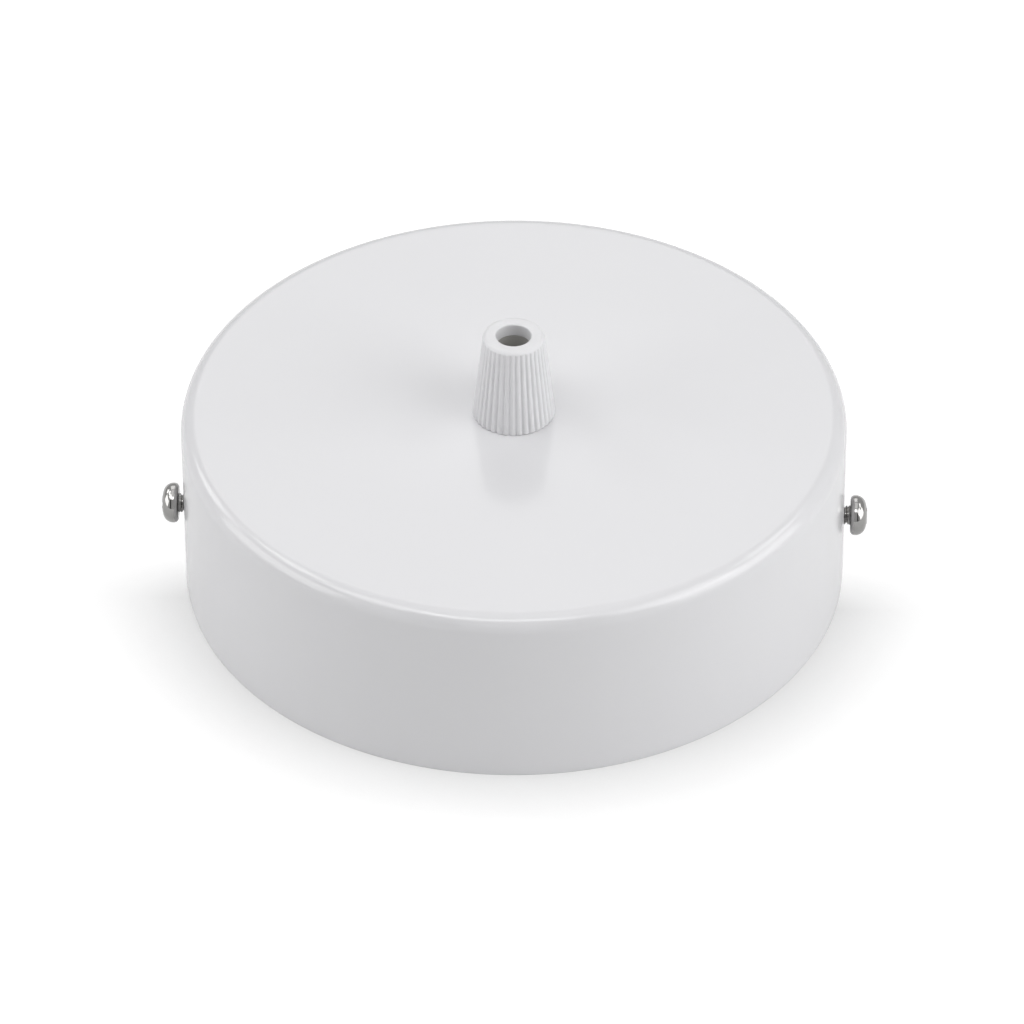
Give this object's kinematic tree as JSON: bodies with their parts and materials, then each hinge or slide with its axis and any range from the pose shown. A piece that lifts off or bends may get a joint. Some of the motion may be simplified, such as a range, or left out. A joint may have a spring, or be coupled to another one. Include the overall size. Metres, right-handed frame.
{
  "type": "electrical ceiling rose",
  "caption": "Round white steel ceiling canopy for a pendant lamp, with a ribbed cord grip, bright side screws, a ceiling bracket and a terminal block inside.",
  "frame": {"origin": "centre of the rim plane, which is the ceiling plane in use", "axes": "+Z along the canopy's axis towards the cord outlet, +X along the two side screws towards the right one"},
  "size_m": [0.1284, 0.12, 0.0521],
  "materials": {
    "white_enamel": "gloss",
    "bright_plate": "polished",
    "zinc_plate": "satin",
    "white_satin_plastic": "satin",
    "natural_nylon": "satin",
    "grey_nylon": "satin",
    "block_plastic": "satin",
    "brass": "satin"
  },
  "bodies": {
    "rose": {"canopy": "white_enamel", "mounting_bracket": "zinc_plate", "cord_grip_nipple": "natural_nylon", "nipple_lock_washer": "zinc_plate", "nipple_lock_nut": "zinc_plate", "terminal_housing": "block_plastic", "terminal_fixing_screws": "zinc_plate", "earth_washer": "zinc_plate", "terminal_tube_live": "brass", "terminal_tube_earth": "brass", "terminal_tube_neutral": "brass"},
    "jaw": {"cord_grip_jaw": "grey_nylon"},
    "grip_cap": {"cord_grip_cap": "white_satin_plastic"},
    "left_screw": {"side_screw_left": "bright_plate"},
    "right_screw": {"side_screw_right": "bright_plate"},
    "earth_clamp": {"earth_screw": "zinc_plate"},
    "live_front_clamp": {"terminal_screw_live_front": "zinc_plate"},
    "live_back_clamp": {"terminal_screw_live_back": "zinc_plate"},
    "earth_front_clamp": {"terminal_screw_earth_front": "zinc_plate"},
    "earth_back_clamp": {"terminal_screw_earth_back": "zinc_plate"},
    "neutral_front_clamp": {"terminal_screw_neutral_front": "zinc_plate"},
    "neutral_back_clamp": {"terminal_screw_neutral_back": "zinc_plate"}
  },
  "joints": [
    {"name": "grip_rise", "type": "slide", "parent": "rose", "child": "jaw", "axis": [0, 0, 1], "range_m": [0, 0.008]},
    {"name": "cap_turn", "type": "hinge", "parent": "jaw", "child": "grip_cap", "pos_m": [0, 0, 0.0436], "axis": [0, 0, 1], "range_deg": [0, 2880]},
    {"name": "left_screw_travel", "type": "slide", "parent": "rose", "child": "left_screw", "axis": [-1, 0, 0], "range_m": [-0.00105, 0.0045]},
    {"name": "right_screw_travel", "type": "slide", "parent": "rose", "child": "right_screw", "axis": [1, 0, 0], "range_m": [-0.00105, 0.0045]},
    {"name": "earth_screw_travel", "type": "slide", "parent": "rose", "child": "earth_clamp", "axis": [0, 0, 1], "range_m": [0, 0.003]},
    {"name": "live_front_clamp_travel", "type": "slide", "parent": "rose", "child": "live_front_clamp", "axis": [0, 0, 1], "range_m": [-0.002, 0]},
    {"name": "live_back_clamp_travel", "type": "slide", "parent": "rose", "child": "live_back_clamp", "axis": [0, 0, 1], "range_m": [-0.002, 0]},
    {"name": "earth_front_clamp_travel", "type": "slide", "parent": "rose", "child": "earth_front_clamp", "axis": [0, 0, 1], "range_m": [-0.002, 0]},
    {"name": "earth_back_clamp_travel", "type": "slide", "parent": "rose", "child": "earth_back_clamp", "axis": [0, 0, 1], "range_m": [-0.002, 0]},
    {"name": "neutral_front_clamp_travel", "type": "slide", "parent": "rose", "child": "neutral_front_clamp", "axis": [0, 0, 1], "range_m": [-0.002, 0]},
    {"name": "neutral_back_clamp_travel", "type": "slide", "parent": "rose", "child": "neutral_back_clamp", "axis": [0, 0, 1], "range_m": [-0.002, 0]}
  ],
  "couplings": [
    {"joint": "cap_turn", "follows": "grip_rise", "rad_per_m": 6283.2}
  ]
}
